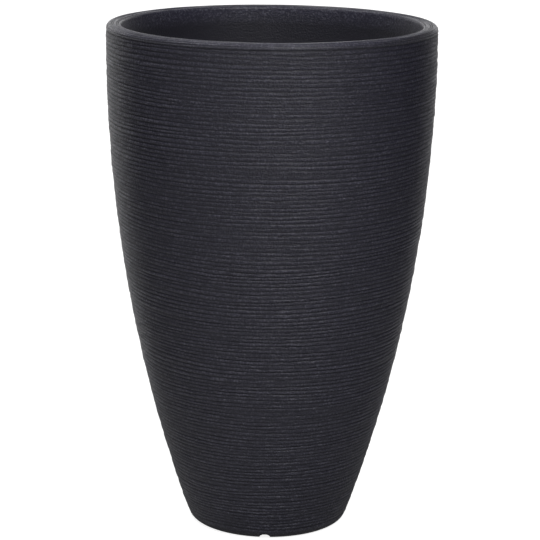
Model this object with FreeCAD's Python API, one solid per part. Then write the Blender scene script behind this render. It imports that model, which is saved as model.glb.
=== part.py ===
# Tall floor planter: a ribbed outer shell, a lift-out planting liner whose broad rim caps the shell,
# and a push-in plug for the drain in the shell's floor.
# Millimetres, +Z up. The origin is on the ground at the middle of the foot, and -Y is the front.
import FreeCAD, Part

import math
import os

# Overall form
HEIGHT = 600.0  # ground to the top of the rim
RIM_RADIUS = 192.5  # outside of the rim, and of the side where it stands upright
FOOT_RADIUS = 93.0  # where the side's curve would meet the ground
UPRIGHT_DROP = 23.5  # from the top of the rim down to where the side starts to curve in

# Ribs that run round the side
RIB_PITCH = 4.65
RIB_DEPTH = 0.9

# Outer shell
SHELL_WALL = 4.5
FOOT_EDGE_RADIUS = 11.0  # rounding between the side and the ground
FOOT_RING_WIDTH = 7.0  # flat ring that stands on the ground
FOOT_RECESS = 14.0  # ground to the underside of the floor, at the drain
FLOOR_THICKNESS = 4.5
FLOOR_FALL = 4.0  # the floor rises this much from the drain to the wall
FLOOR_CORNER_RADIUS = 12.0  # inside rounding between the floor and the wall
NOTCH_COUNT = 3  # drainage notches through the foot ring
NOTCH_WIDTH = 12.5
NOTCH_HEIGHT = 6.0
NOTCH_CORNER_RADIUS = 5.0

# Drain in the middle of the shell's floor
DRAIN_RADIUS = 13.0
DRAIN_SEAT_WIDTH = 9.0  # flat ring round the drain that the plug's head sits on
COLLAR_WALL = 4.0
COLLAR_DROP = 6.0  # the collar hangs this far below the floor

# Planting liner
RIM_WIDTH = 17.5  # outside of the rim to the liner's inner wall
RIM_LIP = 7.5  # height of the rim above the shell's top edge
RIM_OUTER_ROUND = 5.5
RIM_INNER_ROUND = 4.0
RIM_FALL = 0.95  # the rim's top falls this much from its outside to the mouth
RIM_SKIN = 5.0  # thickness of the rim's top
RIM_RING_COUNT = 4  # shallow grooves combed over the rim
RIM_RING_DEPTH = 0.6
LIP_ROUND = 1.5  # rounding of the lip's lower edge, which makes the seam a groove
SPIGOT_WALL = 3.0  # ring under the rim that drops inside the shell and centres the liner
SPIGOT_DROP = 8.0
SPIGOT_CLEARANCE = 0.4
LINER_WALL = 4.0
LINER_DEPTH = 330.0  # top of the rim to the liner's floor
LINER_CORNER_RADIUS = 28.0
LINER_FLOOR_FALL = 3.0
LINER_DRAIN_RADIUS = 6.0  # one hole in the middle and a circle of holes round it
LINER_DRAIN_CIRCLE = 80.0
LINER_DRAIN_COUNT = 6

# Drain plug
PLUG_CLEARANCE = 0.2
PLUG_BEAD_COUNT = 2  # sealing beads round the stem
PLUG_BEAD = 0.5  # the beads stand this far out of the stem
PLUG_BEAD_HEIGHT = 3.0
PLUG_STEM_LENGTH = 13.0
PLUG_TIP_CHAMFER = 1.5
PLUG_HEAD_RADIUS = 18.0
PLUG_HEAD_THICKNESS = 3.0
LOOP_WIDTH = 28.0  # finger loop that pulls the plug out
LOOP_THICKNESS = 5.0
LOOP_HEIGHT = 30.0
LOOP_HOLE_RADIUS = 9.5

# Cutting tools run this far past what they cut
OVERRUN = 5.0

# Heights and curves that follow from the sizes above
SEAM_HEIGHT = HEIGHT - RIM_LIP
UPRIGHT_HEIGHT = HEIGHT - UPRIGHT_DROP
SIDE_TAPER = RIM_RADIUS - FOOT_RADIUS
SIDE_ARC = (UPRIGHT_HEIGHT**2 + SIDE_TAPER**2) / (2 * SIDE_TAPER)
SIDE_CENTRE = RIM_RADIUS - SIDE_ARC
FLOOR_HEIGHT = FOOT_RECESS + FLOOR_THICKNESS
RIM_SLOPE = math.atan(RIM_FALL / RIM_WIDTH)
RIM_TURN = math.pi / 2 + RIM_SLOPE  # how far the rim's outer rounding swings, from upright to the top
Z_AXIS = FreeCAD.Vector(0, 0, 1)
ORIGIN = FreeCAD.Vector(0, 0, 0)


def at(radius, height):
    """A point of a profile, in the half-plane that is turned about the Z axis."""
    return FreeCAD.Vector(radius, 0, height)


def line(start, end):
    return Part.LineSegment(start, end).toShape()


def arc(start, through, end):
    return Part.Arc(start, through, end).toShape()


def polyline(points):
    return [line(start, end) for start, end in zip(points, points[1:])]


def turned(edges):
    """The solid that a closed profile makes when it is turned about the Z axis."""
    face = Part.Face(Part.Wire(Part.__sortEdges__(edges)))
    return face.revolve(ORIGIN, Z_AXIS, 360)


def side_radius(height, inset):
    """Radius of the curve that lies a given distance inside the side, at a height."""
    fall = UPRIGHT_HEIGHT - height
    if fall <= 0:
        return RIM_RADIUS - inset
    return SIDE_CENTRE + math.sqrt((SIDE_ARC - inset) ** 2 - fall**2)


def side_point(distance, inset):
    """The point a distance down the side from the seam, and an inset into the wall."""
    bend = distance - (SEAM_HEIGHT - UPRIGHT_HEIGHT)
    if bend <= 0:
        return at(RIM_RADIUS - inset, SEAM_HEIGHT - distance)
    angle = bend / SIDE_ARC
    reach = SIDE_ARC - inset
    return at(SIDE_CENTRE + reach * math.cos(angle), UPRIGHT_HEIGHT - reach * math.sin(angle))


def side_edges(top, bottom, inset):
    """The side's curve at an inset, from a height above the bend down to a lower one."""
    bend = at(RIM_RADIUS - inset, UPRIGHT_HEIGHT)
    middle = (UPRIGHT_HEIGHT + bottom) / 2
    return [
        line(at(RIM_RADIUS - inset, top), bend),
        arc(bend, at(side_radius(middle, inset), middle), at(side_radius(bottom, inset), bottom)),
    ]


def corner_arc(first, corner, last, radius):
    """Rounds the corner between two straight runs. Returns the tangent points and the arc."""
    towards_first = (first - corner).normalize()
    towards_last = (last - corner).normalize()
    half_angle = towards_first.getAngle(towards_last) / 2
    reach = radius / math.tan(half_angle)
    bisector = (towards_first + towards_last).normalize()
    start = corner + towards_first * reach
    end = corner + towards_last * reach
    middle = corner + bisector * (radius / math.sin(half_angle) - radius)
    return start, end, arc(start, middle, end)


def wall_to_floor(inset, floor_inner, corner_height, radius):
    """Rounds the corner where the side's curve at an inset meets a floor that slopes to its middle.
    Returns where the curve ends, where the floor starts, and the arc between them."""
    corner = at(side_radius(corner_height, inset), corner_height)
    tangent_fall = UPRIGHT_HEIGHT - corner_height
    up_the_wall = at(tangent_fall, corner.x - SIDE_CENTRE).normalize()
    wall_end, floor_start, rounding = corner_arc(corner + up_the_wall, corner, floor_inner, radius)
    on_curve = at(side_radius(wall_end.z, inset), wall_end.z)
    middle = rounding.valueAt((rounding.FirstParameter + rounding.LastParameter) / 2)
    return on_curve, floor_start, arc(on_curve, middle, floor_start)


def ribs(foot_end):
    """The ribbed side from the seam down to the foot's rounding: one ridge and one groove a pitch."""
    length = (SEAM_HEIGHT - UPRIGHT_HEIGHT) + SIDE_ARC * math.asin((UPRIGHT_HEIGHT - foot_end) / SIDE_ARC)
    count = round(length / RIB_PITCH)
    pitch = length / count
    edges = []
    for i in range(count):
        groove = side_point(i * pitch, RIB_DEPTH)
        crest = side_point((i + 0.5) * pitch, 0)
        next_groove = side_point((i + 1) * pitch, RIB_DEPTH)
        edges += polyline([groove, crest, next_groove])
    return edges, side_point(length, RIB_DEPTH)


def notch_cutter():
    """A low arch that runs out through the foot ring towards the front."""
    half = NOTCH_WIDTH / 2
    top = NOTCH_HEIGHT
    ease = NOTCH_CORNER_RADIUS
    left_low = FreeCAD.Vector(-half, 0, -OVERRUN)
    right_low = FreeCAD.Vector(half, 0, -OVERRUN)
    left_start, left_end, left_round = corner_arc(
        left_low, FreeCAD.Vector(-half, 0, top), FreeCAD.Vector(half, 0, top), ease
    )
    right_start, right_end, right_round = corner_arc(
        FreeCAD.Vector(-half, 0, top), FreeCAD.Vector(half, 0, top), right_low, ease
    )
    outline = [
        line(left_low, left_start),
        left_round,
        line(left_end, right_start),
        right_round,
        line(right_end, right_low),
        line(right_low, left_low),
    ]
    face = Part.Face(Part.Wire(Part.__sortEdges__(outline)))
    face.translate(FreeCAD.Vector(0, -(FOOT_RADIUS + OVERRUN), 0))
    reach = OVERRUN + FOOT_RADIUS - FOOT_RING_INNER + OVERRUN
    return face.extrude(FreeCAD.Vector(0, reach, 0))


# The foot's rounding: where it leaves the ground, where it meets the side
GROUND_TANGENT = at(UPRIGHT_HEIGHT, FOOT_RADIUS - SIDE_CENTRE).normalize()
GROUND_CORNER = at(FOOT_RADIUS, 0)
FOOT_START, FOOT_END, FOOT_ROUND = corner_arc(
    GROUND_CORNER + GROUND_TANGENT, GROUND_CORNER, at(0, 0), FOOT_EDGE_RADIUS
)
FOOT_RING_OUTER = FOOT_END.x
FOOT_RING_INNER = FOOT_RING_OUTER - FOOT_RING_WIDTH


def outer_shell():
    """The ribbed shell: side, foot ring, sloping floor, and the drain with its collar."""
    rib_edges, rib_foot = ribs(FOOT_START.z)
    foot_middle = FOOT_ROUND.valueAt((FOOT_ROUND.FirstParameter + FOOT_ROUND.LastParameter) / 2)
    foot_edge = arc(rib_foot, foot_middle, FOOT_END)
    seat_radius = DRAIN_RADIUS + DRAIN_SEAT_WIDTH
    seat = at(seat_radius, FLOOR_HEIGHT)
    corner_height = FLOOR_HEIGHT + FLOOR_FALL
    wall_end, floor_start, floor_corner = wall_to_floor(
        SHELL_WALL, seat, corner_height, FLOOR_CORNER_RADIUS
    )
    collar_radius = DRAIN_RADIUS + COLLAR_WALL
    collar_foot = FOOT_RECESS - COLLAR_DROP
    under = [
        FOOT_END,
        at(FOOT_RING_INNER, 0),
        at(FOOT_RING_INNER, FOOT_RECESS + FLOOR_FALL),
        at(seat_radius, FOOT_RECESS),
        at(collar_radius, FOOT_RECESS),
        at(collar_radius, collar_foot),
        at(DRAIN_RADIUS, collar_foot),
        at(DRAIN_RADIUS, FLOOR_HEIGHT),
        seat,
        floor_start,
    ]
    inside = side_edges(SEAM_HEIGHT, wall_end.z, SHELL_WALL)
    top = line(at(RIM_RADIUS - SHELL_WALL, SEAM_HEIGHT), at(RIM_RADIUS - RIB_DEPTH, SEAM_HEIGHT))
    shell = turned([*rib_edges, foot_edge, *polyline(under), floor_corner, *inside, top])
    for i in range(NOTCH_COUNT):
        cutter = notch_cutter()
        cutter.rotate(ORIGIN, Z_AXIS, i * 360 / NOTCH_COUNT)
        shell = shell.cut(cutter)
    return shell


def rim_point(distance, inset):
    """The point a distance along the rim, measured from the foot of its outer rounding up and across the
    top, and an inset into its skin."""
    reach = RIM_OUTER_ROUND - inset
    angle = min(distance / RIM_OUTER_ROUND, RIM_TURN)
    across = distance - RIM_OUTER_ROUND * angle
    return at(
        RIM_RADIUS - RIM_OUTER_ROUND + reach * math.cos(angle) - across * math.cos(RIM_SLOPE),
        HEIGHT - RIM_OUTER_ROUND + reach * math.sin(angle) - across * math.sin(RIM_SLOPE),
    )


def rim_rings(length):
    """The rim's skin from the foot of its outer rounding over a length: grooves with round bottoms, side by
    side, as a comb leaves them."""
    pitch = length / RIM_RING_COUNT
    edges = []
    for i in range(RIM_RING_COUNT):
        crest = rim_point(i * pitch, 0)
        groove = rim_point((i + 0.5) * pitch, RIM_RING_DEPTH)
        next_crest = rim_point((i + 1) * pitch, 0)
        edges.append(arc(crest, groove, next_crest))
    return edges


def planting_liner():
    """The inner pot: a hollow broad rim with a centring spigot, a smooth wall, and a drained floor."""
    mouth = RIM_RADIUS - RIM_WIDTH
    lip_rise = math.sqrt(2 * LIP_ROUND * RIB_DEPTH - RIB_DEPTH**2)
    lip_foot = at(RIM_RADIUS - RIB_DEPTH, SEAM_HEIGHT)
    lip_side = at(RIM_RADIUS, SEAM_HEIGHT + lip_rise)
    lip_angle = math.asin(lip_rise / LIP_ROUND) / 2
    lip_middle = at(
        RIM_RADIUS - LIP_ROUND + LIP_ROUND * math.cos(lip_angle),
        SEAM_HEIGHT + lip_rise - LIP_ROUND * math.sin(lip_angle),
    )
    top_start = rim_point(RIM_OUTER_ROUND * RIM_TURN, 0)
    mouth_edge = at(mouth, top_start.z - (top_start.x - mouth) * math.tan(RIM_SLOPE))
    inner_start, inner_end, inner_round = corner_arc(
        top_start, mouth_edge, at(mouth, UPRIGHT_HEIGHT), RIM_INNER_ROUND
    )
    combed_length = RIM_OUTER_ROUND * RIM_TURN + (inner_start - top_start).Length
    rim = [
        arc(lip_foot, lip_middle, lip_side),
        line(lip_side, rim_point(0, 0)),
        *rim_rings(combed_length),
        inner_round,
    ]
    floor_height = HEIGHT - LINER_DEPTH
    floor_middle = at(LINER_DRAIN_RADIUS, floor_height - LINER_FLOOR_FALL)
    inner_end_of_wall, floor_start, inner_corner = wall_to_floor(
        RIM_WIDTH, floor_middle, floor_height, LINER_CORNER_RADIUS
    )
    under_inset = RIM_WIDTH - LINER_WALL
    under_middle = at(LINER_DRAIN_RADIUS, floor_middle.z - LINER_WALL)
    outer_end_of_wall, under_start, outer_corner = wall_to_floor(
        under_inset, under_middle, floor_height - LINER_WALL, LINER_CORNER_RADIUS + LINER_WALL
    )
    spigot_outer = RIM_RADIUS - SHELL_WALL - SPIGOT_CLEARANCE
    spigot_inner = spigot_outer - SPIGOT_WALL
    channel_top = HEIGHT - RIM_SKIN
    spigot_foot = SEAM_HEIGHT - SPIGOT_DROP
    under_rim = [
        at(RIM_RADIUS - under_inset, channel_top),
        at(spigot_inner, channel_top),
        at(spigot_inner, spigot_foot),
        at(spigot_outer, spigot_foot),
        at(spigot_outer, SEAM_HEIGHT),
        lip_foot,
    ]
    liner = turned(
        [
            *rim,
            *side_edges(inner_end.z, inner_end_of_wall.z, RIM_WIDTH),
            inner_corner,
            *polyline([floor_start, floor_middle, under_middle, under_start]),
            outer_corner,
            *side_edges(channel_top, outer_end_of_wall.z, under_inset),
            *polyline(under_rim),
        ]
    )
    for i in range(LINER_DRAIN_COUNT):
        hole = Part.makeCylinder(
            LINER_DRAIN_RADIUS,
            LINER_WALL + LINER_FLOOR_FALL + 2 * OVERRUN,
            at(LINER_DRAIN_CIRCLE, floor_height - LINER_FLOOR_FALL - LINER_WALL - OVERRUN),
        )
        hole.rotate(ORIGIN, Z_AXIS, i * 360 / LINER_DRAIN_COUNT)
        liner = liner.cut(hole)
    return liner


def drain_plug():
    """The push-in plug: a stem with sealing beads, a flat head, and a finger loop."""
    bead_radius = DRAIN_RADIUS - PLUG_CLEARANCE
    stem_radius = bead_radius - PLUG_BEAD
    head_top = FLOOR_HEIGHT + PLUG_HEAD_THICKNESS
    stem_foot = FLOOR_HEIGHT - PLUG_STEM_LENGTH
    bead_room = PLUG_STEM_LENGTH - PLUG_TIP_CHAMFER - PLUG_BEAD_COUNT * PLUG_BEAD_HEIGHT
    bead_gap = bead_room / (PLUG_BEAD_COUNT + 1)
    outline = [
        line(at(0, stem_foot), at(stem_radius - PLUG_TIP_CHAMFER, stem_foot)),
        line(at(stem_radius - PLUG_TIP_CHAMFER, stem_foot), at(stem_radius, stem_foot + PLUG_TIP_CHAMFER)),
    ]
    below = at(stem_radius, stem_foot + PLUG_TIP_CHAMFER)
    for i in range(PLUG_BEAD_COUNT):
        bead_foot = below + at(0, bead_gap)
        bead_top = bead_foot + at(0, PLUG_BEAD_HEIGHT)
        crest = at(bead_radius, bead_foot.z + PLUG_BEAD_HEIGHT / 2)
        outline += [line(below, bead_foot), arc(bead_foot, crest, bead_top)]
        below = bead_top
    outline += polyline(
        [
            below,
            at(stem_radius, FLOOR_HEIGHT),
            at(PLUG_HEAD_RADIUS, FLOOR_HEIGHT),
            at(PLUG_HEAD_RADIUS, head_top),
            at(0, head_top),
            at(0, stem_foot),
        ]
    )
    body = turned(outline)
    half = LOOP_WIDTH / 2
    shoulder = head_top + LOOP_HEIGHT - half
    root = head_top - PLUG_HEAD_THICKNESS / 2
    loop_outline = [
        line(at(-half, root), at(half, root)),
        line(at(half, root), at(half, shoulder)),
        arc(at(half, shoulder), at(0, shoulder + half), at(-half, shoulder)),
        line(at(-half, shoulder), at(-half, root)),
    ]
    loop_face = Part.Face(Part.Wire(loop_outline))
    loop_face.translate(FreeCAD.Vector(0, -LOOP_THICKNESS / 2, 0))
    loop = loop_face.extrude(FreeCAD.Vector(0, LOOP_THICKNESS, 0))
    hole_start = FreeCAD.Vector(0, -(LOOP_THICKNESS / 2 + OVERRUN), shoulder)
    hole = Part.makeCylinder(
        LOOP_HOLE_RADIUS, LOOP_THICKNESS + 2 * OVERRUN, hole_start, FreeCAD.Vector(0, 1, 0)
    )
    return body.fuse(loop.cut(hole)).removeSplitter()


PIECES = {
    "outer_shell": outer_shell,
    "planting_liner": planting_liner,
    "drain_plug": drain_plug,
}

os.makedirs("parts", exist_ok=True)
for name, make in PIECES.items():
    piece = make()
    print(name, piece.isValid(), len(piece.Solids), round(piece.Volume / 1000), "cm3")
    piece.exportStep(f"parts/{name}.step")
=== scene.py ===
# Tall ribbed floor planter in anthracite plastic: the fine form and finish of its shell, liner and plug.
# Metres. +Z is up, the origin is on the ground under the pot, and the front is towards -Y.
import math

import bmesh
import bpy
import numpy as np
from mathutils import Matrix, Vector


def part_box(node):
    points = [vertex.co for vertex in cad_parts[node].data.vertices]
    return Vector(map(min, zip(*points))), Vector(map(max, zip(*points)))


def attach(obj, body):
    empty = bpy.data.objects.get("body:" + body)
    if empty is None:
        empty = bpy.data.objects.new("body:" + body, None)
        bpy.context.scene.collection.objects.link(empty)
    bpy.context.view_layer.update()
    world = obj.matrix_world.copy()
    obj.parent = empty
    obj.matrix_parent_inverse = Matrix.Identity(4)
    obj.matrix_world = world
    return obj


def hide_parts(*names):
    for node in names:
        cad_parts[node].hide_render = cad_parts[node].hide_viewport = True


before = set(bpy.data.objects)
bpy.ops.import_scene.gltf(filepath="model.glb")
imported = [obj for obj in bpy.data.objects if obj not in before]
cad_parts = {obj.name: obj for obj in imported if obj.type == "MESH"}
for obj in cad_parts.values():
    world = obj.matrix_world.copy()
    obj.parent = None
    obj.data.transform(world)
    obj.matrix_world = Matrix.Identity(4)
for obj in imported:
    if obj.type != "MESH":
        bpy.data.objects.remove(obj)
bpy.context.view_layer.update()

MM = 0.001
SEED = 20
WELD = 0.002 * MM  # corners closer than this are one
SMALL = 1e-9  # keeps a division clear of zero

# Sizes that the frame gives
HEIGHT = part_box("planting_liner")[1][2]
LINER_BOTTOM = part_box("planting_liner")[0][2]
SEAM_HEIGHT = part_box("outer_shell")[1][2]
PLUG_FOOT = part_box("drain_plug")[0][2]
PLUG_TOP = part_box("drain_plug")[1][2]
PLUG_HEAD_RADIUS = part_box("drain_plug")[1][0]

# The side: upright under the rim, then one arc in to the foot
RIM_RADIUS = 192.5 * MM
FOOT_RADIUS = 93.0 * MM
UPRIGHT_DROP = 23.5 * MM
UPRIGHT_HEIGHT = HEIGHT - UPRIGHT_DROP
SIDE_TAPER = RIM_RADIUS - FOOT_RADIUS
SIDE_ARC = (UPRIGHT_HEIGHT**2 + SIDE_TAPER**2) / (2 * SIDE_TAPER)
SIDE_CENTRE = RIM_RADIUS - SIDE_ARC

# The foot: a rounded edge where the side ends, and the ring that the pot stands on
FOOT_EDGE = 11.0 * MM
FOOT_RING_WIDTH = 7.0 * MM
FOOT_CENTRE = SIDE_CENTRE + math.sqrt((SIDE_ARC - FOOT_EDGE) ** 2 - (UPRIGHT_HEIGHT - FOOT_EDGE) ** 2)
FOOT_ANGLE = math.atan2(UPRIGHT_HEIGHT - FOOT_EDGE, FOOT_CENTRE - SIDE_CENTRE)
SIDE_LENGTH = SEAM_HEIGHT - UPRIGHT_HEIGHT + SIDE_ARC * FOOT_ANGLE
RING_INNER = FOOT_CENTRE - FOOT_RING_WIDTH

# Ribs, drawn round the side by hand with a comb
RIB_PITCH = 4.65 * MM
RIB_COUNT = round(SIDE_LENGTH / RIB_PITCH)
RIB_DEPTH = 0.9 * MM
RIB_START = 1.4 * MM  # from the seam to the middle of the first groove
RIB_PHASE_SHARES = np.array([0.0, 0.24, 0.76])  # groove, upper shoulder, lower shoulder
RIB_HEIGHT_SHARES = np.array([-1.3, 1.12, 1.12])  # of half the depth, at those places
RIB_TOP_SHARE = 0.4  # of the depth at the seam, where the comb was set down gently at front and back
RIB_TOP_REACH = 26.0 * MM  # below the seam, where it bites fully
RIB_WANDER = 1.0 * MM  # how far the ribs wander up and down
RIB_WANDER_SPREAD = (3.5, 22)  # spreads of the noise, in ribs and in degrees
RIB_UNEVEN = 0.5 * MM  # how far each rib strays from its neighbours
RIB_UNEVEN_SPREAD = (0.7, 15)
RIB_FADES = ((0.24, (0.35, 14)), (0.15, (0.35, 2.5)))  # how much the depth varies, with its spreads
RIB_FADE_LIMITS = (0.4, 1.7)
RIB_PROUD = 0.15 * MM  # how far single ribs stand out from their neighbours
RIB_PROUD_SPREAD = (0.4, 14)
NOISE_COLUMNS = 360  # the noise has one column a degree

# Shell below and inside the ribs
SHELL_WALL = 4.5 * MM
EDGE_EASE = 0.8 * MM  # moulded edges are never quite sharp
FOOT_RECESS = 14.0 * MM
FLOOR_THICKNESS = 4.5 * MM
FLOOR_HEIGHT = FOOT_RECESS + FLOOR_THICKNESS
FLOOR_FALL = 4.0 * MM
FLOOR_EDGE = FLOOR_HEIGHT + FLOOR_FALL
FLOOR_CORNER = 12.0 * MM
DRAIN_RADIUS = 13.0 * MM
SEAT_RADIUS = 22.0 * MM
COLLAR_RADIUS = 17.0 * MM
COLLAR_FOOT = 8.0 * MM
NOTCH_COUNT = 3
NOTCH_WIDTH = 12.5 * MM
NOTCH_HEIGHT = 6.0 * MM
NOTCH_EASE = 5.0 * MM
NOTCH_LIP = 1.2 * MM  # rounding of its lower edges
# Columns of the net, from the middle of a notch to just past its wall
NOTCH_WIDTH_SHARES = np.array([0.0, 0.12, 0.22, 0.31, 0.39, 0.45, 0.485, 0.4985, 0.51, 0.54, 0.6])
COLUMNS_BETWEEN_NOTCHES = 46

# Planting liner
RIM_WIDTH = 17.5 * MM
MOUTH_RADIUS = RIM_RADIUS - RIM_WIDTH
RIM_OUTER_ROUND = 5.5 * MM
RIM_INNER_ROUND = 4.0 * MM
RIM_FALL_SHARE = 0.054  # of its width, that the rim's top falls towards the mouth
RIM_PLAIN = 2.6 * MM  # the lip below the first ring
RIM_SKIN = 5.0 * MM  # thickness of the rim over the channel under it
LIP_ROUND = 1.4 * MM
SPIGOT_WALL = 3.0 * MM
SPIGOT_DROP = 8.0 * MM
SPIGOT_CLEARANCE = 0.4 * MM
LINER_WALL = 4.0 * MM
LINER_OUTER_INSET = RIM_WIDTH - LINER_WALL
LINER_FLOOR_MIDDLE = LINER_BOTTOM + LINER_WALL
LINER_FLOOR_FALL = 3.0 * MM
LINER_FLOOR_EDGE = LINER_FLOOR_MIDDLE + LINER_FLOOR_FALL
LINER_CORNER = 28.0 * MM
LINER_DRAIN_RADIUS = 6.0 * MM
LINER_DRAIN_CIRCLE = 80.0 * MM
LINER_DRAIN_COUNT = 6
LINER_DRAIN_BAND = 14.0 * MM  # the floor's net closes in on each drain hole over this distance
BAND_OUTER = LINER_DRAIN_CIRCLE + LINER_DRAIN_BAND
BAND_INNER = LINER_DRAIN_CIRCLE - LINER_DRAIN_BAND
DRAIN_CLOSING_SHARES = np.array([1.0, 0.55, 0.2, 0.0])  # of the way from a hole's edge to the border
DRAIN_EASE_SHARES = np.array([0.6, 0.13, 0.0])  # how far out a hole's eased edge stands, row by row
DRAIN_DROP_SHARES = np.array([0.1, 0.5, 1.0])  # and how far down, close to a quarter circle
LINER_COLUMNS = 180

# Rings combed over the rim, deep at the sides and only skimmed at the front and the back
RIM_ROWS = 128
RIM_RING_COUNT = 8
RIM_RING_DEPTH = 0.9 * MM
RIM_FRONT_SHARE = 0.3  # of that depth
RIM_RING_WANDER = 0.35 * MM
RIM_WANDER_SPREAD = (7, 9)  # spreads of the noise, in rows and in degrees
RIM_FADE = 0.5  # how much the depth varies
RIM_FADE_SPREAD = (5, 6)
RIM_FADE_LIMITS = (0.3, 1.6)
RIM_WEAR_AND_PAINTED_LIGHT = 1.75  # how pale the rim is on the whole, partly wear and partly painted light
RIM_RING_PAINTED_LIGHT_AND_SHADE = 1.3  # painted highlights on the rings' crests and painted shade in their grooves
RIM_CREST_LIMITS = (0, 2)
RIM_PALING_REACH = 6.5 * MM  # the paling comes up over this distance from the lip
RIM_LIP_SHARE = 0.2  # of the paling that the lip has

# Drain plug
PLUG_BEAD = 0.5 * MM
PLUG_BEAD_HEIGHT = 3.0 * MM
PLUG_BEAD_COUNT = 2
PLUG_CLEARANCE = 0.2 * MM
PLUG_TIP_CHAMFER = 1.5 * MM
PLUG_HEAD_THICKNESS = 3.0 * MM
PLUG_HEAD_TOP = FLOOR_HEIGHT + PLUG_HEAD_THICKNESS
PLUG_COLUMNS = 72
LOOP_WIDTH = 28.0 * MM
LOOP_THICKNESS = 5.0 * MM
LOOP_HOLE_RADIUS = 9.5 * MM
LOOP_EASE = 1.3 * MM

# How many points draw each curve
EASE_STEPS = 5
CORNER_STEPS = 12
RIM_STEPS = 16
FOOT_STEPS = 10
WALL_STEPS = 20
INNER_WALL_STEPS = 30
BAND_STEPS = 5
STEM_STEPS = 40

# Real sizes of the materials' patterns
CLOUD_SIZE = 45.0 * MM
STREAK_LENGTH = 15.0 * MM
STREAK_WIDTH = 2.2 * MM
GRIT_SIZE = 2.4 * MM  # real grit is about 0.4 mm, drawn coarser so that it shows from here
GRIT_HEIGHT = 1.5 * MM  # drawn higher than it is, for the same reason
BLOOM_SIZE = 9.0 * MM
RUBBER_GRIT = 0.5 * MM
RUBBER_GRIT_HEIGHT = 0.1 * MM

# Finer layers of the patterns' noise
BROAD_DETAIL = 3.0  # how many, in the clouds and the bloom
FINE_DETAIL = 2.0  # and in the streaks and the grit
STREAK_BREAKUP = 0.6  # how strong they are
GRIT_BREAKUP = 0.65

# Finish of the plastic, where the mould was combed and where it was left plain
COMBED_STREAKS = 1.2  # height of the streaks against the grit's
PLAIN_STREAKS = 0.3
COMBED_GRAIN = 0.8  # how strongly the relief shows
PLAIN_GRAIN = 0.5
COMBED_SHEEN = 0.0  # the combed skin shows no dust
PLAIN_SHEEN = 0.15  # dust in the pores of the uncombed skin
SHEEN_ROUGHNESS = 0.5
PLAIN_CREST = 0.25  # how much wear the uncombed skin shows
CREST_SHIFT = -0.1  # the faintest paling, of wear and painted shade alike, doesn't show
CREST_FULL = 0.8  # paling, of wear and painted shade, that makes the skin fully pale
GRAIN_GLINT_RANGE = (0.48, 0.72)  # of the grit's noise, over which painted glints come up on single specks
GRAIN_GLINT_STRENGTH = 0.8  # how far the painted glints reach their own colour
GROOVE_ROUGHNESS = 0.54
CREST_ROUGHNESS = 0.36
PLASTIC_IOR = 1.5
GROOVE_DARK = "191822"
GROOVE_PALE = "21202b"
# Crest colour: wear, with the grooves left darker as painted shade
CREST_WEAR_AND_PAINTED_LIGHT = "31303f"
# Colour of the painted glints on single specks of grit
GRAIN_PAINTED_GLINT = "6a6976"

# Finish of the rubber
RUBBER_GRAIN = 0.3
RUBBER_ROUGHNESS = (0.7, 0.85)  # bare, and under the bloom
RUBBER_IOR = 1.52
RUBBER_DARK = "1a1a1b"
RUBBER_BLOOM = "2b2b2d"

# The photograph's camera: focal length in the photograph's pixels, place in metres and aim in radians
IMAGE_WIDTH = 540
FOCAL_PIXELS = 2157.0
SENSOR_WIDTH = 36.0
CAMERA_DISTANCE = 2.5
CAMERA_HEIGHT = 0.9005
CAMERA_PITCH = 0.23385
CAMERA_ROLL = 0.0106
CAMERA_YAW = 0.00016
CAMERA_AZIMUTH = math.radians(1.6)  # the front notch shows a little left of the middle
CAMERA_CLIP = 50

# Studio: a floor that ends behind the pot, and a surround that gives light only from behind it
STUDIO_REACH = 3.0
STUDIO_BACK = 0.45
STUDIO_DROP = 0.3 * MM  # keeps the floor clear of the foot
STUDIO_PALE = "d0d0d0"
STUDIO_WHITE = "ffffff"
GLOW_REACH = (0.4, 1.1)  # distances from the pot's axis over which the floor's glow comes up
GLOW_STRENGTH = (0.88, 1.0)
BACKDROP_RANGE = (0.75, 0.95)  # shares of a direction along +Y over which the surround's light comes up
BACKDROP_STRENGTH = 1.15

# Softboxes: name, place, target, width, height and watts
SOFTBOXES = (
    ("key_softbox", (0.6, -2.5, 2.3), (0, 0, 0.3), 0.9, 0.9, 29.5),
    ("right_softbox", (1.2, -2.2, 2.3), (0, 0, 0.3), 0.9, 0.9, 23),
    ("fill_softbox", (-1.5, -2.1, 2.0), (0, 0, 0.3), 0.9, 0.9, 12.5),
    ("high_softbox", (-1.1, 0.3, 2.7), (0, 0, 0.6), 0.7, 0.7, 18),
    ("edge_strip", (-1.75, 2.1, 0.3), (0, 0, 0.3), 0.5, 2.2, 5.4),
    ("side_strip", (-2.0, 1.6, 1.0), (0, 0, 0.4), 0.6, 1.8, 2.2),
)


def side_at(distance, inset):
    """Radius and height a distance down the side from the seam and an inset into the wall: straight down
    to the bend, then round an arc whose radius is the side's less the inset."""
    straight = np.minimum(distance, SEAM_HEIGHT - UPRIGHT_HEIGHT)
    angle = (distance - straight) / SIDE_ARC
    reach = SIDE_ARC - inset
    return SIDE_CENTRE + reach * np.cos(angle), SEAM_HEIGHT - straight - reach * np.sin(angle)


def side_radius(height, inset):
    """Radius of the side's curve at a height and an inset into the wall: upright above the bend, and the
    circle's own equation below it."""
    fall = np.maximum(UPRIGHT_HEIGHT - height, 0)
    return SIDE_CENTRE + np.sqrt((SIDE_ARC - inset) ** 2 - fall**2)


def wall_rows(low, high, inset, count):
    """Points up the side's curve at an inset, evenly spaced in height."""
    height = np.linspace(low, high, count)
    return np.stack([side_radius(height, inset), height], -1)


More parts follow.
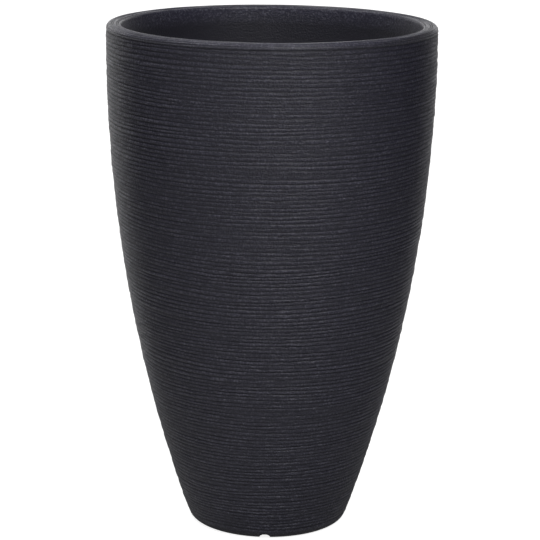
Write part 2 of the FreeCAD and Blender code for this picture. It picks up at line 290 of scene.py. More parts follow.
def rounded(corners, steps=EASE_STEPS):
    """Points along an outline with rounded corners. Each corner is (radius, height, rounding), and its arc
    swings from one tangent point to the next about a centre on the corner's bisector. The first and last
    corners only give directions."""
    corners = np.array(corners)
    place, rounding = corners[:, :2], corners[1:-1, 2, None]
    before = place[:-2] - place[1:-1]
    after = place[2:] - place[1:-1]
    before /= np.linalg.norm(before, axis=1, keepdims=True)
    after /= np.linalg.norm(after, axis=1, keepdims=True)
    half = np.arccos((before * after).sum(1, keepdims=True)) / 2
    bisector = (before + after) / (2 * np.cos(half))
    across = (after - before) / (2 * np.sin(half))
    centre = place[1:-1] + bisector * rounding / np.sin(half)
    turn = np.linspace(-1, 1, steps) * (np.pi / 2 - half)
    swing = across[:, None] * np.sin(turn)[..., None] - bisector[:, None] * np.cos(turn)[..., None]
    return (centre[:, None] + rounding[:, None] * swing).reshape(-1, 2)


def smooth_noise(rng, rows, row_spread, column_spread):
    """White noise softened by a Gaussian, with the spreads given in rows and in degrees, and scaled to a
    deviation of one. It closes on itself round the pot."""
    noise = rng.standard_normal((rows, NOISE_COLUMNS))
    row_wave = row_spread * np.fft.fftfreq(rows)[:, None]
    column_wave = column_spread * np.fft.rfftfreq(NOISE_COLUMNS)
    softening = np.exp(-2 * np.pi**2 * (row_wave**2 + column_wave**2))
    smooth = np.fft.irfft2(np.fft.rfft2(noise) * softening, s=noise.shape)
    return smooth / smooth.std()


def round_the_pot(field, angle):
    """A noise field read at the given angles, in radians, by straight lines between its columns."""
    degrees = np.degrees(angle) % NOISE_COLUMNS
    left = np.floor(degrees).astype(int) % NOISE_COLUMNS
    share = degrees - np.floor(degrees)
    rows = np.arange(len(field))[:, None]
    return field[rows, left] * (1 - share) + field[rows, (left + 1) % NOISE_COLUMNS] * share


def full_turn(columns):
    """Angles of columns spaced evenly round a full turn."""
    return np.arange(columns) * 2 * np.pi / columns


def all_round(outline, columns):
    """Radius and height of an outline's points, the same in every column."""
    return np.repeat(outline.T[..., None], columns, 2)


def turned(radius, height, angle):
    """Points of a turned surface from radius, height and angle."""
    radius, height, angle = np.broadcast_arrays(radius, height, angle)
    return np.stack([radius * np.cos(angle), radius * np.sin(angle), height], -1)


def net(points, close_rows):
    """Corners and quads of a grid of points, closed along its columns and, if asked, along its rows."""
    rows, columns = points.shape[:2]
    index = np.arange(rows * columns).reshape(rows, columns)
    below = np.roll(index, -1, 0)
    quads = np.stack([index, below, np.roll(below, -1, 1), np.roll(index, -1, 1)], -1)
    if not close_rows:
        quads = quads[:-1]
    return points.reshape(-1, 3), quads.reshape(-1, 4)


def piece(name, nets, body, node, material, crest=None):
    """One object made of nets, riding on a body in place of its CAD node. The corners that nets share are
    merged, and every face is turned outwards. The material reads the crest value of each corner."""
    starts = np.cumsum([0] + [len(points) for points, _ in nets])
    points = np.concatenate([points for points, _ in nets])
    quads = np.concatenate([quads + start for (_, quads), start in zip(nets, starts)])
    mesh = bpy.data.meshes.new(name)
    mesh.from_pydata(points, [], quads)
    if crest is not None:
        values = np.zeros(len(points), np.float32)
        values[: crest.size] = crest.ravel()
        mesh.attributes.new("crest", "FLOAT", "POINT").data.foreach_set("value", values)
    if len(nets) > 1:
        work = bmesh.new()
        work.from_mesh(mesh)
        bmesh.ops.remove_doubles(work, verts=work.verts, dist=WELD)
        bmesh.ops.recalc_face_normals(work, faces=work.faces)
        work.to_mesh(mesh)
        work.free()
    mesh.shade_smooth()
    mesh.materials.append(material)
    made = bpy.data.objects.new(name, mesh)
    bpy.context.scene.collection.objects.link(made)
    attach(made, body)
    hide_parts(node)


def add_node(tree, kind, inputs=None, **settings):
    """Adds a shader node with its settings, then fills its inputs with values or links."""
    made = tree.nodes.new(kind)
    for key, value in settings.items():
        setattr(made, key, value)
    for key, value in (inputs or {}).items():
        if isinstance(value, bpy.types.NodeSocket):
            tree.links.new(value, made.inputs[key])
        else:
            made.inputs[key].default_value = value
    return made


def linear(colour):
    """An sRGB hex colour as linear red, green, blue and alpha."""
    srgb = np.array([int(colour[i : i + 2], 16) for i in (0, 2, 4)]) / 255
    rgb = np.where(srgb <= 0.04045, srgb / 12.92, ((srgb + 0.055) / 1.055) ** 2.4)
    return (*rgb, 1.0)


def material_tree(name):
    """A new material and its emptied node tree."""
    material = bpy.data.materials.new(name)
    material.use_nodes = True
    tree = material.node_tree
    tree.nodes.clear()
    return material, tree


def skin_patterns(tree):
    """The patterns in the plastic's skin: its clouds, the streaks drawn out along the ribs, its grit, and
    how pale it is, which is the crest value broken up by the streaks. That paling is partly wear on the
    crests and partly painted shade in the grooves, and on the rim also painted highlights on its rings."""
    place = add_node(tree, "ShaderNodeTexCoord").outputs["Object"]
    crest = add_node(tree, "ShaderNodeAttribute", attribute_name="crest").outputs["Fac"]
    cloud = add_node(
        tree, "ShaderNodeTexNoise", {"Vector": place, "Scale": 1 / CLOUD_SIZE, "Detail": BROAD_DETAIL},
    ).outputs["Fac"]
    streak_scale = (1 / STREAK_LENGTH, 1 / STREAK_LENGTH, 1 / STREAK_WIDTH)
    drawn_out = add_node(
        tree, "ShaderNodeMapping", {"Vector": place, "Scale": streak_scale},
    ).outputs["Vector"]
    streak = add_node(
        tree, "ShaderNodeTexNoise",
        {"Vector": drawn_out, "Scale": 1.0, "Detail": FINE_DETAIL, "Roughness": STREAK_BREAKUP},
    ).outputs["Fac"]
    grit = add_node(
        tree, "ShaderNodeTexNoise",
        {"Vector": place, "Scale": 1 / GRIT_SIZE, "Detail": FINE_DETAIL, "Roughness": GRIT_BREAKUP},
    ).outputs["Fac"]
    # Paling from the crest value: wear on the crests, painted shade in the grooves, and on the rim painted
    # highlights on its rings
    wear_and_painted_light = add_node(
        tree, "ShaderNodeMath", {0: crest, 1: streak, 2: CREST_SHIFT}, operation="MULTIPLY_ADD",
    ).outputs["Value"]
    pale_wear_and_painted_light = add_node(
        tree, "ShaderNodeMapRange", {"Value": wear_and_painted_light, "From Max": CREST_FULL},
    ).outputs["Result"]
    return cloud, streak, grit, pale_wear_and_painted_light


def skin_colour(tree, cloud, grit, pale_wear_and_painted_light):
    """The skin's colour: clouded and dark in the grooves, paler on the crests, which is partly wear and
    partly painted shade in the grooves, and palest on painted glints at single specks where the grit's
    noise is highest."""
    plain = add_node(
        tree, "ShaderNodeMix",
        {"Factor": cloud, "A": linear(GROOVE_DARK), "B": linear(GROOVE_PALE)}, data_type="RGBA",
    ).outputs["Result"]
    # Painted shade: the grooves keep the dark colour and the crests turn pale, partly from wear
    wear_and_painted_light_colour = add_node(
        tree, "ShaderNodeMix",
        {"Factor": pale_wear_and_painted_light, "A": plain, "B": linear(CREST_WEAR_AND_PAINTED_LIGHT)}, data_type="RGBA",
    ).outputs["Result"]
    low, high = GRAIN_GLINT_RANGE
    # Painted glints: single specks of grit on the crests turn pale, standing in for light that they catch
    painted_glint_grains = add_node(
        tree, "ShaderNodeMapRange",
        {"Value": grit, "From Min": low, "From Max": high, "To Max": GRAIN_GLINT_STRENGTH},
    ).outputs["Result"]
    painted_glint = add_node(
        tree, "ShaderNodeMath", {0: painted_glint_grains, 1: pale_wear_and_painted_light}, operation="MULTIPLY",
    ).outputs["Value"]
    return add_node(
        tree, "ShaderNodeMix",
        {"Factor": painted_glint, "A": wear_and_painted_light_colour, "B": linear(GRAIN_PAINTED_GLINT)}, data_type="RGBA",
    ).outputs["Result"]


def polyethylene(name, streaks, grain, sheen):
    """Rotomoulded polyethylene, through-coloured anthracite: a matt skin that copies the mould's grit.
    Where the mould was combed, the grit runs in streaks along the ribs. The crests are smoother from wear
    and a little paler than the grooves, a paling that is partly wear and partly painted shade in the
    grooves, and single specks of grit on them carry painted glints. The colour clouds faintly over a few
    fingers' width."""
    material, tree = material_tree(name)
    cloud, streak, grit, pale_wear_and_painted_light = skin_patterns(tree)
    gloss = add_node(
        tree, "ShaderNodeMapRange",
        {"Value": pale_wear_and_painted_light, "To Min": GROOVE_ROUGHNESS, "To Max": CREST_ROUGHNESS},
    )
    relief = add_node(
        tree, "ShaderNodeMath", {0: streak, 1: streaks, 2: grit}, operation="MULTIPLY_ADD",
    )
    bump = add_node(
        tree, "ShaderNodeBump",
        {"Height": relief.outputs["Value"], "Strength": grain, "Distance": GRIT_HEIGHT},
    )
    plastic = add_node(
        tree, "ShaderNodeBsdfPrincipled",
        {
            "Base Color": skin_colour(tree, cloud, grit, pale_wear_and_painted_light),
            "Roughness": gloss.outputs["Result"],
            "Normal": bump.outputs["Normal"],
            "IOR": PLASTIC_IOR,
            "Sheen Weight": sheen,
            "Sheen Roughness": SHEEN_ROUGHNESS,
        },
    )
    add_node(tree, "ShaderNodeOutputMaterial", {"Surface": plastic.outputs["BSDF"]})
    return material


def plug_rubber():
    """Moulded black rubber: soft matt skin with a fine powdery bloom."""
    material, tree = material_tree("moulded_black_rubber")
    place = add_node(tree, "ShaderNodeTexCoord").outputs["Object"]
    bloom = add_node(
        tree, "ShaderNodeTexNoise", {"Vector": place, "Scale": 1 / BLOOM_SIZE, "Detail": BROAD_DETAIL},
    ).outputs["Fac"]
    grit = add_node(
        tree, "ShaderNodeTexNoise", {"Vector": place, "Scale": 1 / RUBBER_GRIT, "Detail": FINE_DETAIL},
    ).outputs["Fac"]
    colour = add_node(
        tree, "ShaderNodeMix",
        {"Factor": bloom, "A": linear(RUBBER_DARK), "B": linear(RUBBER_BLOOM)}, data_type="RGBA",
    )
    bare, bloomed = RUBBER_ROUGHNESS
    gloss = add_node(tree, "ShaderNodeMapRange", {"Value": bloom, "To Min": bare, "To Max": bloomed})
    bump = add_node(
        tree, "ShaderNodeBump", {"Height": grit, "Strength": RUBBER_GRAIN, "Distance": RUBBER_GRIT_HEIGHT},
    )
    rubber = add_node(
        tree, "ShaderNodeBsdfPrincipled",
        {
            "Base Color": colour.outputs["Result"],
            "Roughness": gloss.outputs["Result"],
            "Normal": bump.outputs["Normal"],
            "IOR": RUBBER_IOR,
        },
    )
    add_node(tree, "ShaderNodeOutputMaterial", {"Surface": rubber.outputs["BSDF"]})
    return material


def shell_outline():
    """The shell's plain outline: from the last rib by an arc round the foot's edge, up under the floor,
    through the drain, over the floor and up the inner wall to the top edge."""
    swing = np.linspace(-FOOT_ANGLE, -np.pi / 2, FOOT_STEPS)[1:, None]
    foot_arc = np.concatenate([np.cos(swing), np.sin(swing)], 1) * (FOOT_EDGE - RIB_DEPTH / 2)
    foot_arc += (FOOT_CENTRE, FOOT_EDGE)
    foot_arc[-1, 1] = 0
    corner_top = FLOOR_EDGE + FLOOR_CORNER
    ring_to_floor = rounded(
        [
            (FOOT_CENTRE, 0, 0),
            (RING_INNER, 0, EDGE_EASE),
            (RING_INNER, FOOT_RECESS + FLOOR_FALL, 3 * EDGE_EASE),
            (SEAT_RADIUS, FOOT_RECESS, 3 * EDGE_EASE),
            (COLLAR_RADIUS, FOOT_RECESS, 2 * EDGE_EASE),
            (COLLAR_RADIUS, COLLAR_FOOT, EDGE_EASE),
            (DRAIN_RADIUS, COLLAR_FOOT, EDGE_EASE),
            (DRAIN_RADIUS, FLOOR_HEIGHT, EDGE_EASE),
            (SEAT_RADIUS, FLOOR_HEIGHT, 3 * EDGE_EASE),
            (side_radius(FLOOR_EDGE, SHELL_WALL), FLOOR_EDGE, FLOOR_CORNER),
            (side_radius(corner_top, SHELL_WALL), corner_top, 0),
        ]
    )
    wall = wall_rows(ring_to_floor[-1, 1], SEAM_HEIGHT - 2 * EDGE_EASE, SHELL_WALL, WALL_STEPS)[1:]
    top_edge = rounded(
        [
            (RIM_RADIUS - SHELL_WALL, UPRIGHT_HEIGHT, 0),
            (RIM_RADIUS - SHELL_WALL, SEAM_HEIGHT, EDGE_EASE),
            (RIM_RADIUS - RIB_DEPTH / 2, SEAM_HEIGHT, EDGE_EASE / 2),
            (RIM_RADIUS - RIB_DEPTH / 2, UPRIGHT_HEIGHT, 0),
        ]
    )
    return np.concatenate([foot_arc, ring_to_floor, wall, top_edge])


def notch_columns():
    """The shell's columns: the angle that each starts from, its distance sideways from there, and the
    height of the notch's roof over it. The roof comes down to the notch's walls by arcs, and the walls'
    lower edges are rounded outwards by smaller ones."""
    notch = np.concatenate([-NOTCH_WIDTH_SHARES[:0:-1], NOTCH_WIDTH_SHARES]) * NOTCH_WIDTH
    beside = np.maximum(np.abs(notch) - (NOTCH_WIDTH / 2 - NOTCH_EASE), 0)
    arch = NOTCH_HEIGHT - NOTCH_EASE + np.sqrt(np.maximum(NOTCH_EASE**2 - beside**2, 0))
    past = np.clip((np.abs(notch) - NOTCH_WIDTH / 2) / NOTCH_LIP, 0, 1)
    lip = NOTCH_LIP * (1 - np.sqrt(1 - (1 - past) ** 2))
    arch = np.where(np.abs(notch) < NOTCH_WIDTH / 2, arch, lip)
    sector = 2 * np.pi / NOTCH_COUNT
    edge_angle = math.asin(notch[-1] / RING_INNER)
    between = np.linspace(edge_angle, sector - edge_angle, COLUMNS_BETWEEN_NOTCHES + 2)[1:-1]
    nothing = np.zeros_like(between)
    first = np.concatenate([np.zeros_like(notch), between]) - np.pi / 2
    start = (first + sector * np.arange(NOTCH_COUNT)[:, None]).ravel()
    sideways = np.tile(np.concatenate([notch, nothing]), NOTCH_COUNT)
    roof = np.tile(np.concatenate([arch, nothing]), NOTCH_COUNT)
    return start, sideways, roof


def rib_noise(rng, rows, spread):
    """Smooth noise over the ribs' rows, with its spreads given in ribs and in degrees."""
    return smooth_noise(rng, rows, spread[0] * len(RIB_PHASE_SHARES), spread[1])


def combed_ribs(distance, angle):
    """Radius, height and relief of the ribs, from the distance of each row down the side. Smooth noise
    moves the rows along the side, so that the ribs wander. The relief is about 1 on a crest and -1 in a
    groove. It fades by smooth noise, at the foot, and towards the seam at the front and the back, by the
    sine squared. More noise makes single ribs stand proud."""
    rng = np.random.default_rng(SEED)
    rows = len(distance)
    wander = RIB_WANDER * rib_noise(rng, rows, RIB_WANDER_SPREAD)
    uneven = RIB_UNEVEN * rib_noise(rng, rows, RIB_UNEVEN_SPREAD)
    ends = np.clip(np.minimum(distance, SIDE_LENGTH - distance) / RIB_PITCH, 0, 1)
    along = distance + ends * round_the_pot(wander + uneven, angle)
    fade = sum(share * rib_noise(rng, rows, spread) for share, spread in RIB_FADES)
    strength = np.clip(1 + round_the_pot(fade, angle), *RIB_FADE_LIMITS)
    near_seam = np.clip(1 - distance / RIB_TOP_REACH, 0, 1)
    bite = 1 - (1 - RIB_TOP_SHARE) * near_seam * np.sin(angle) ** 2
    shape = np.tile(RIB_HEIGHT_SHARES, RIB_COUNT)[:, None]
    relief = bite * np.clip((SIDE_LENGTH - distance) / RIB_PITCH, 0, 1) * shape * strength
    proud = RIB_PROUD * rib_noise(rng, rows, RIB_PROUD_SPREAD)
    proud = ends * round_the_pot(proud, angle)
    radius, height = side_at(along, RIB_DEPTH / 2 * (1 - relief) - proud)
    return radius, height, relief


def outer_shell():
    """The ribbed shell, one closed net: a groove and two shoulders to each rib down the side, then the
    plain outline turned round. The columns beside each drainage notch keep their distance from its middle,
    so that its walls stay straight, and no point lies lower than the notch's roof. The crest value is about
    0 in a groove and 1 on a crest."""
    rib = np.arange(RIB_COUNT)[:, None] + RIB_PHASE_SHARES
    distance = (rib.ravel() * (SIDE_LENGTH - RIB_START) / RIB_COUNT)[:, None] + RIB_START
    plain = shell_outline()
    start, sideways, roof = notch_columns()
    row_radius = np.concatenate([side_at(distance[:, 0], 0)[0], plain[:, 0]])
    row_radius = np.clip(row_radius, RING_INNER, side_at(SIDE_LENGTH, 0)[0])
    angle = start + np.arcsin(sideways / row_radius[:, None])
    rib_radius, rib_height, relief = combed_ribs(distance, angle[: len(distance)])
    plain_radius, plain_height = all_round(plain, len(start))
    radius = np.concatenate([rib_radius, plain_radius])
    height = np.maximum(np.concatenate([rib_height, plain_height]), roof)
    crest = np.concatenate([0.5 + 0.5 * relief, np.full(plain_radius.shape, PLAIN_CREST)])
    shell = net(turned(radius, height, angle), True)
    skin = polyethylene("combed_rotomoulded_polyethylene", COMBED_STREAKS, COMBED_GRAIN, COMBED_SHEEN)
    piece("ribbed_shell", [shell], "shell", "outer_shell", skin, crest)


def combed_rim(angle):
    """Radius, height and crest value of the rim, from its lip over the top to its mouth. Rows lie at even
    steps along the outline. Rings are grooves with round bottoms, parabolas cut square to it, which meet in
    sharp crests. They wander and fade by smooth noise, and are deepest at the sides, by the cosine squared.
    The rim is pale on the whole, partly wear and partly painted light. Its ring crests get painted
    highlights and its grooves painted shade, and the paling is least at the lip."""
    rng = np.random.default_rng(SEED + 1)
    peak = HEIGHT + RIM_OUTER_ROUND * (RIM_FALL_SHARE + math.hypot(1, RIM_FALL_SHARE) - 1)
    outline = rounded(
        [
            (MOUTH_RADIUS, SEAM_HEIGHT, 0),
            (RIM_RADIUS, SEAM_HEIGHT, LIP_ROUND),
            (RIM_RADIUS, peak, RIM_OUTER_ROUND),
            (MOUTH_RADIUS, peak - RIM_FALL_SHARE * RIM_WIDTH, RIM_INNER_ROUND),
            (MOUTH_RADIUS, UPRIGHT_HEIGHT, 0),
        ],
        RIM_STEPS,
    )
    steps = np.linalg.norm(np.diff(outline, axis=0), axis=1)
    walked = np.concatenate([[0], np.cumsum(steps)])
    even = np.linspace(0, walked[-1], RIM_ROWS)
    place = np.stack([np.interp(even, walked, outline[:, i]) for i in (0, 1)], -1)
    along = np.gradient(place, axis=0)
    along /= np.linalg.norm(along, axis=1, keepdims=True)
    combed = walked[-1] - RIM_PLAIN - RIM_INNER_ROUND
    wander = RIM_RING_WANDER * round_the_pot(smooth_noise(rng, RIM_ROWS, *RIM_WANDER_SPREAD), angle)
    ring = RIM_RING_COUNT * np.clip((even[:, None] + wander - RIM_PLAIN) / combed, 0, 1)
    within = ring - np.floor(ring)
    groove = 4 * within * (1 - within)
    pressed = RIM_FRONT_SHARE + (1 - RIM_FRONT_SHARE) * np.cos(angle) ** 2
    fade = RIM_FADE * round_the_pot(smooth_noise(rng, RIM_ROWS, *RIM_FADE_SPREAD), angle)
    strength = pressed * np.clip(1 + fade, *RIM_FADE_LIMITS)
    cut = RIM_RING_DEPTH * groove * strength
    radius = place[:, :1] - cut * along[:, 1:]
    height = place[:, 1:] + cut * along[:, :1]
    # Painted light: the rim is paled on the whole, its ring crests painted brighter and its grooves darker
    wear_and_painted_light = np.clip(even[:, None] / RIM_PALING_REACH, RIM_LIP_SHARE, 1)
    crest = np.clip(RIM_WEAR_AND_PAINTED_LIGHT + RIM_RING_PAINTED_LIGHT_AND_SHADE * (1 - 2 * groove) * strength, *RIM_CREST_LIMITS)
    return radius, height, wear_and_painted_light * crest


def liner_floor(radius):
    """Height of the liner's floor, which falls evenly from its edge to the drain hole in its middle."""
    slope = LINER_FLOOR_FALL / (side_radius(LINER_FLOOR_EDGE, RIM_WIDTH) - LINER_DRAIN_RADIUS)
    return LINER_FLOOR_MIDDLE + slope * (radius - LINER_DRAIN_RADIUS)


def liner_outside():
    """Outline of the liner's outside: from its floor's band up the wall, through the channel under the rim
    and round the spigot to the lip."""
    spigot_outer = RIM_RADIUS - SHELL_WALL - SPIGOT_CLEARANCE
    spigot_inner = spigot_outer - SPIGOT_WALL
    spigot_foot = SEAM_HEIGHT - SPIGOT_DROP
    channel_top = HEIGHT - RIM_SKIN
    edge = LINER_FLOOR_EDGE - LINER_WALL
    band = (BAND_OUTER, liner_floor(BAND_OUTER) - LINER_WALL)
    wall = wall_rows(edge + LINER_CORNER, channel_top, LINER_OUTER_INSET, WALL_STEPS)
    corner = rounded(
        [
            (*band, 0),
            (side_radius(edge, LINER_OUTER_INSET), edge, LINER_CORNER + LINER_WALL),
            (*wall[1], 0),
        ],
        CORNER_STEPS,
    )
    under_rim = rounded(
        [
            (*wall[-3], 0),
            (RIM_RADIUS - LINER_OUTER_INSET, channel_top, EDGE_EASE),
            (spigot_inner, channel_top, EDGE_EASE),
            (spigot_inner, spigot_foot, EDGE_EASE),
            (spigot_outer, spigot_foot, EDGE_EASE),
            (spigot_outer, SEAM_HEIGHT, EDGE_EASE / 2),
            (RIM_RADIUS, SEAM_HEIGHT, 0),
        ]
    )
    return np.concatenate([[band], corner, wall[2:-1], under_rim])


def liner_inside():
    """Outline of the liner's inside, from the mouth down the wall to its floor's band."""
    band = (BAND_OUTER, liner_floor(BAND_OUTER))
    wall = wall_rows(LINER_FLOOR_EDGE + LINER_CORNER, UPRIGHT_HEIGHT, RIM_WIDTH, INNER_WALL_STEPS)[::-1]
    corner = rounded(
        [
            (*wall[-2], 0),
            (side_radius(LINER_FLOOR_EDGE, RIM_WIDTH), LINER_FLOOR_EDGE, LINER_CORNER),
            (*band, 0),
        ],
        CORNER_STEPS,
    )
    return np.concatenate([wall[:-1], corner, [band]])


def liner_middle():
    """Outline of the floor inside its band: in to the middle hole, down through it by eased edges, and out
    again along the underside."""
    top = (BAND_INNER, liner_floor(BAND_INNER))
    bottom = (BAND_INNER, liner_floor(BAND_INNER) - LINER_WALL)
    hole = rounded(
        [
            (*top, 0),
            (LINER_DRAIN_RADIUS, LINER_FLOOR_MIDDLE, EDGE_EASE),
            (LINER_DRAIN_RADIUS, LINER_BOTTOM, EDGE_EASE),
            (*bottom, 0),
        ]
    )
    return np.concatenate([[top], hole, [bottom]])


def drain_border():
    """Border of one drain hole's sector of the band: along the outer arc, in along a ray, back along the
    inner arc and out along the other ray."""
    half_sector = np.pi / LINER_DRAIN_COUNT
    arc = np.linspace(-half_sector, half_sector, LINER_COLUMNS // LINER_DRAIN_COUNT + 1)
    ray = np.linspace(BAND_OUTER, BAND_INNER, BAND_STEPS)
    round_outer, round_inner = np.full_like(arc, BAND_OUTER), np.full_like(arc, BAND_INNER)
    ahead, behind = np.full_like(ray, half_sector), np.full_like(ray, -half_sector)
    radius = np.concatenate([round_outer[1:], ray[1:], round_inner[1:], ray[::-1][1:]])
    angle = np.concatenate([arc[1:], ahead[1:], arc[::-1][1:], behind[1:]])
    return turned(radius, 0, angle)[:, :2]


def liner_drains():
    """Nets of the floor's band, one to a drain hole. Each starts from the border of its sector, closes in
    on the hole along straight lines, goes down through it by eased edges and opens out again below."""
    centre = np.array([LINER_DRAIN_CIRCLE, 0])
    outward = drain_border() - centre
    reach = np.linalg.norm(outward, axis=1)
    outward /= reach[:, None]
    start = LINER_DRAIN_RADIUS + EDGE_EASE
    closing = start + DRAIN_CLOSING_SHARES[:, None] * (reach - start)
    eased = (LINER_DRAIN_RADIUS + EDGE_EASE * DRAIN_EASE_SHARES[:, None]) * np.ones_like(reach)
    drop = np.concatenate([0 * DRAIN_CLOSING_SHARES, EDGE_EASE * DRAIN_DROP_SHARES])[:, None]
    top_place = centre + np.concatenate([closing, eased])[..., None] * outward
    level = liner_floor(np.linalg.norm(top_place, axis=-1))
    place = np.concatenate([top_place, top_place[::-1]])
    height = np.concatenate([level - drop, (level - LINER_WALL + drop)[::-1]])
    radius = np.linalg.norm(place, axis=-1)
    angles = np.arctan2(place[..., 1], place[..., 0]) + full_turn(LINER_DRAIN_COUNT)[:, None, None]
    return [net(turned(radius, height, angle), False) for angle in angles]


def planting_liner():
    """The liner: a turned net for its rim and walls, one for the middle of its floor, and the drain holes'
    nets in the band between them."""
    angle = full_turn(LINER_COLUMNS)
    outside, inside, middle = liner_outside(), liner_inside(), liner_middle()
    outside_radius, outside_height = all_round(outside, LINER_COLUMNS)
    rim_radius, rim_height, rim_crest = combed_rim(angle)
    inside_radius, inside_height = all_round(inside, LINER_COLUMNS)
    radius = np.concatenate([outside_radius, rim_radius, inside_radius])
    height = np.concatenate([outside_height, rim_height, inside_height])
    crest = np.full(radius.shape, PLAIN_CREST)
    crest[len(outside) : len(outside) + RIM_ROWS] = rim_crest
    walls = net(turned(radius, height, angle), False)
    floor = net(turned(middle[:, :1], middle[:, 1:], angle), False)
    nets = [walls, floor, *liner_drains()]
    skin = polyethylene("plain_rotomoulded_polyethylene", PLAIN_STREAKS, PLAIN_GRAIN, PLAIN_SHEEN)
    piece("planting_liner_shell", nets, "liner", "planting_liner", skin, crest)


def plug_body():
    """The plug's turned net: a chamfered tip, a stem with sealing beads, which are half ellipses, and
    a flat head."""
    stem_radius = DRAIN_RADIUS - PLUG_CLEARANCE - PLUG_BEAD
    stem_rows = np.linspace(PLUG_FOOT + PLUG_TIP_CHAMFER, FLOOR_HEIGHT - EDGE_EASE, STEM_STEPS)
    room = FLOOR_HEIGHT - PLUG_FOOT - PLUG_TIP_CHAMFER
    gap = (room - PLUG_BEAD_COUNT * PLUG_BEAD_HEIGHT) / (PLUG_BEAD_COUNT + 1)
    step = (stem_rows - PLUG_FOOT - PLUG_TIP_CHAMFER - gap) % (gap + PLUG_BEAD_HEIGHT)
    bead = np.sqrt(np.maximum(1 - (2 * step / PLUG_BEAD_HEIGHT - 1) ** 2, 0))
    stem = np.stack([stem_radius + PLUG_BEAD * bead, stem_rows], -1)
    head = rounded(
        [
            (stem_radius, PLUG_FOOT, 0),
            (stem_radius, FLOOR_HEIGHT, EDGE_EASE / 2),
            (PLUG_HEAD_RADIUS, FLOOR_HEIGHT, EDGE_EASE),
            (PLUG_HEAD_RADIUS, PLUG_HEAD_TOP, EDGE_EASE),
            (0, PLUG_HEAD_TOP, 0),
        ]
    )
    tip = rounded(
        [
            (0, PLUG_FOOT, 0),
            (stem_radius - PLUG_TIP_CHAMFER, PLUG_FOOT, EDGE_EASE),
            (stem_radius, PLUG_FOOT + PLUG_TIP_CHAMFER, EDGE_EASE),
            (stem_radius, FLOOR_HEIGHT, 0),
        ]
    )
    outline = np.concatenate([[(0, PLUG_FOOT)], tip, stem[2:], head, [(0, PLUG_HEAD_TOP)]])[::-1]
    return net(turned(outline[:, :1], outline[:, 1:], full_turn(PLUG_COLUMNS)), False)


def finger_loop():
    """The plug's flat loop: a band with rounded edges, carried round its eye. Its inside is a circle. Its
    outside is a half circle over the eye, with straight sides and a foot in the head under it."""
    half_width = LOOP_WIDTH / 2
    eye = PLUG_TOP - half_width
    root = eye - (PLUG_HEAD_TOP - PLUG_HEAD_THICKNESS / 2)
    round_eye = full_turn(PLUG_COLUMNS)[:, None]
    to_side = half_width / np.abs(np.cos(round_eye))
    to_foot = root / np.maximum(-np.sin(round_eye), SMALL)
    outer = np.where(np.sin(round_eye) >= 0, half_width, np.minimum(to_side, to_foot))
    quarter = np.linspace(0, np.pi / 2, EASE_STEPS)
    bend = (quarter + np.arange(4)[:, None] * np.pi / 2).ravel()
    sign_out = np.repeat([1, -1, -1, 1], EASE_STEPS)
    sign_side = np.repeat([1, 1, -1, -1], EASE_STEPS)
    middle = (outer + LOOP_HOLE_RADIUS) / 2
    half_band = (outer - LOOP_HOLE_RADIUS) / 2
    reach = middle + sign_out * (half_band - LOOP_EASE) + LOOP_EASE * np.cos(bend)
    depth = sign_side * (LOOP_THICKNESS / 2 - LOOP_EASE) + LOOP_EASE * np.sin(bend) + 0 * reach
    return net(np.stack([reach * np.cos(round_eye), depth, eye + reach * np.sin(round_eye)], -1), True)


def drain_plug():
    """The plug: its turned body, and the finger loop that stands in its head."""
    nets = [plug_body(), finger_loop()]
    piece("drain_plug_rubber", nets, "plug", "drain_plug", plug_rubber())


def photo_camera():
    """The camera looks just beside the pot's axis, tilted down by the pitch and turned by the roll."""
    data = bpy.data.cameras.new("photo_camera")
    data.sensor_width = SENSOR_WIDTH
    data.lens = FOCAL_PIXELS / IMAGE_WIDTH * SENSOR_WIDTH
    data.clip_end = CAMERA_CLIP
    camera = bpy.data.objects.new("photo_camera", data)
    bpy.context.scene.collection.objects.link(camera)
    stand = Matrix.Translation((0, -CAMERA_DISTANCE, CAMERA_HEIGHT))
    aim = Matrix.Rotation(-CAMERA_YAW, 4, "Z") @ Matrix.Rotation(math.pi / 2 - CAMERA_PITCH, 4, "X")
    roll = Matrix.Rotation(CAMERA_ROLL, 4, "Z")
    camera.matrix_world = Matrix.Rotation(CAMERA_AZIMUTH, 4, "Z") @ stand @ aim @ roll
    bpy.context.scene.camera = camera


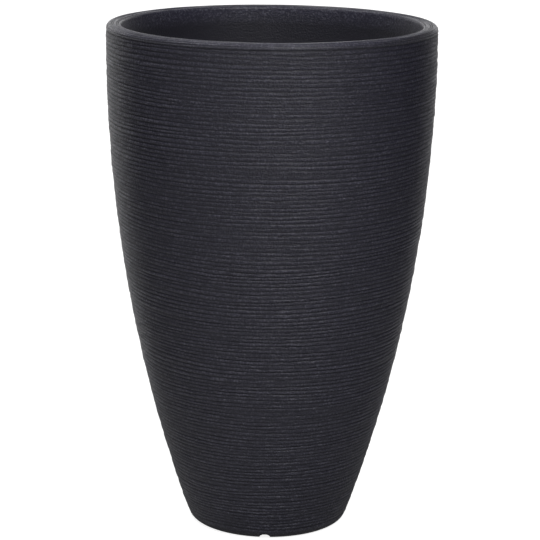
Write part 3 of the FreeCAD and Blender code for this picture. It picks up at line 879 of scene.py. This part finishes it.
def studio_floor():
    """A pale floor that ends behind the pot and keeps its soft shadow. The camera sees it glow nearly
    white, a little less near the pot than away from it."""
    left, right, front, back = -STUDIO_REACH, STUDIO_REACH, -STUDIO_REACH, STUDIO_BACK
    corners = [(left, front, 0), (right, front, 0), (right, back, 0), (left, back, 0)]
    floor = bpy.data.objects.new("floor", bpy.data.meshes.new("floor"))
    floor.data.from_pydata(corners, [], [(0, 1, 2, 3)])
    bpy.context.scene.collection.objects.link(floor)
    floor.location.z = -STUDIO_DROP
    material, tree = material_tree("pale_studio_floor")
    seen = add_node(tree, "ShaderNodeLightPath").outputs["Is Camera Ray"]
    pale = add_node(tree, "ShaderNodeBsdfDiffuse", {"Color": linear(STUDIO_PALE)})
    place = add_node(tree, "ShaderNodeTexCoord").outputs["Object"]
    away = add_node(tree, "ShaderNodeVectorMath", {0: place}, operation="LENGTH")
    near, far = GLOW_REACH
    dim, full = GLOW_STRENGTH
    glow = add_node(
        tree, "ShaderNodeMapRange",
        {"Value": away.outputs["Value"], "From Min": near, "From Max": far, "To Min": dim, "To Max": full},
    )
    strength = add_node(tree, "ShaderNodeMath", {0: seen, 1: glow.outputs["Result"]}, operation="MULTIPLY")
    white = add_node(tree, "ShaderNodeEmission", {"Strength": strength.outputs["Value"]})
    both = add_node(tree, "ShaderNodeAddShader", {0: pale.outputs["BSDF"], 1: white.outputs["Emission"]})
    add_node(tree, "ShaderNodeOutputMaterial", {"Surface": both.outputs["Shader"]})
    floor.data.materials.append(material)


def white_surround():
    """A surround that the camera sees as white. It gives light only from behind the pot, and most from
    straight behind it."""
    world = bpy.data.worlds.new("white_surround")
    bpy.context.scene.world = world
    world.use_nodes = True
    tree = world.node_tree
    tree.nodes.clear()
    seen = add_node(tree, "ShaderNodeLightPath").outputs["Is Camera Ray"]
    direction = add_node(tree, "ShaderNodeTexCoord").outputs["Generated"]
    depth = add_node(tree, "ShaderNodeSeparateXYZ", {"Vector": direction}).outputs["Y"]
    low, high = BACKDROP_RANGE
    backdrop = add_node(
        tree, "ShaderNodeMapRange",
        {"Value": depth, "From Min": low, "From Max": high, "To Max": BACKDROP_STRENGTH},
    )
    strength = add_node(
        tree, "ShaderNodeMath", {0: backdrop.outputs["Result"], 1: seen}, operation="MAXIMUM",
    )
    light = add_node(
        tree, "ShaderNodeBackground",
        {"Color": linear(STUDIO_WHITE), "Strength": strength.outputs["Value"]},
    )
    add_node(tree, "ShaderNodeOutputWorld", {"Surface": light.outputs["Background"]})


def soft_lamp(name, place, target, width, height, power):
    """A rectangular softbox that faces a target."""
    data = bpy.data.lights.new(name, "AREA")
    data.shape = "RECTANGLE"
    data.size = width
    data.size_y = height
    data.energy = power
    lamp = bpy.data.objects.new(name, data)
    bpy.context.scene.collection.objects.link(lamp)
    lamp.location = place
    lamp.rotation_euler = (Vector(target) - Vector(place)).to_track_quat("-Z", "Y").to_euler()


outer_shell()
planting_liner()
drain_plug()
photo_camera()
studio_floor()
white_surround()
for softbox in SOFTBOXES:
    soft_lamp(*softbox)
bpy.context.scene.view_settings.view_transform = "Standard"
